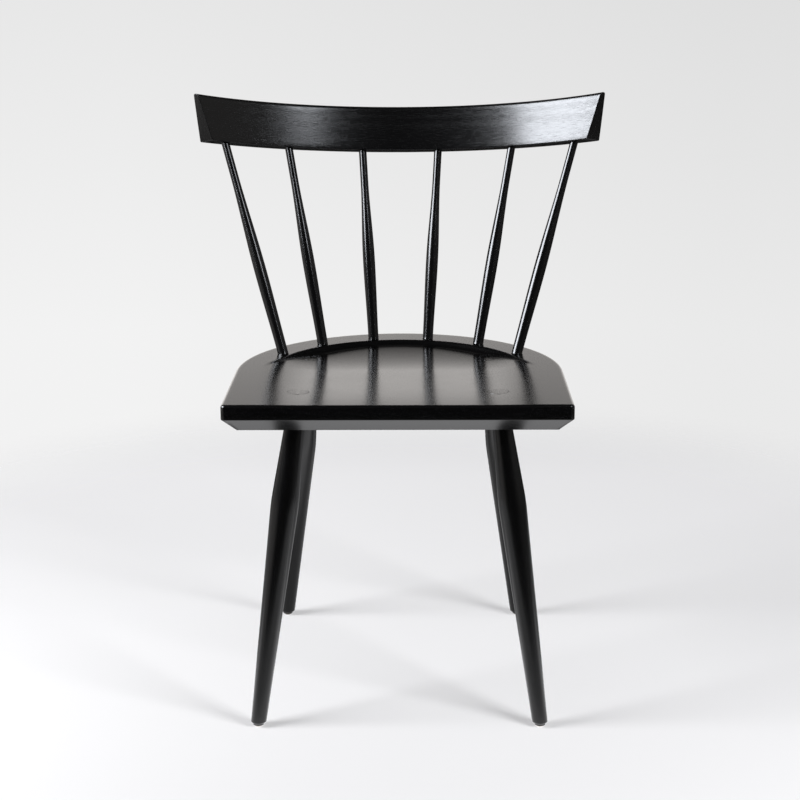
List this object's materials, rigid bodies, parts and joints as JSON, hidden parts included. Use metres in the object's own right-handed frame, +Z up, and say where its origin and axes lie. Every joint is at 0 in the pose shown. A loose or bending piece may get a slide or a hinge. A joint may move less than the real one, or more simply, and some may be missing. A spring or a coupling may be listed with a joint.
{
  "type": "low-back chair",
  "caption": "Low-back wooden dining chair: a carved D-shaped seat on splayed legs wedged through it, with turned spindles and a bent crest rail, all in black lacquer.",
  "frame": {"origin": "on the floor, under the middle of the chair's width and depth", "axes": "+X to the right as seen from the front, +Y towards the back rest, +Z up; the chair faces -Y"},
  "size_m": [0.5786, 0.4699, 0.8118],
  "materials": {
    "lacquered_seat": "black satin lacquer over open-grained hardwood",
    "lacquered_crest": "black satin lacquer over open-grained hardwood",
    "lacquered_legs": "black satin lacquer over open-grained hardwood",
    "lacquered_spindles": "black satin lacquer over open-grained hardwood",
    "lacquered_wedges": "black satin lacquer over open-grained hardwood",
    "nickel_plate": "bright nickel plate",
    "black_rubber": "matt moulded rubber",
    "steel_nail": "drawn wire"
  },
  "bodies": {
    "root": {"seat": "lacquered_seat", "crest_rail": "lacquered_crest", "leg_front_left": "lacquered_legs", "leg_front_right": "lacquered_legs", "leg_rear_left": "lacquered_legs", "leg_rear_right": "lacquered_legs", "leg_wedge_front_left": "lacquered_wedges", "leg_wedge_front_right": "lacquered_wedges", "leg_wedge_rear_left": "lacquered_wedges", "leg_wedge_rear_right": "lacquered_wedges", "spindle_left_inner": "lacquered_spindles", "spindle_left_middle": "lacquered_spindles", "spindle_left_outer": "lacquered_spindles", "spindle_right_inner": "lacquered_spindles", "spindle_right_middle": "lacquered_spindles", "spindle_right_outer": "lacquered_spindles", "glide_cap_front_left": "nickel_plate", "glide_cap_front_right": "nickel_plate", "glide_cap_rear_left": "nickel_plate", "glide_cap_rear_right": "nickel_plate", "glide_cushion_front_left": "black_rubber", "glide_cushion_front_right": "black_rubber", "glide_cushion_rear_left": "black_rubber", "glide_cushion_rear_right": "black_rubber", "glide_nails": "steel_nail"}
  },
  "joints": []
}
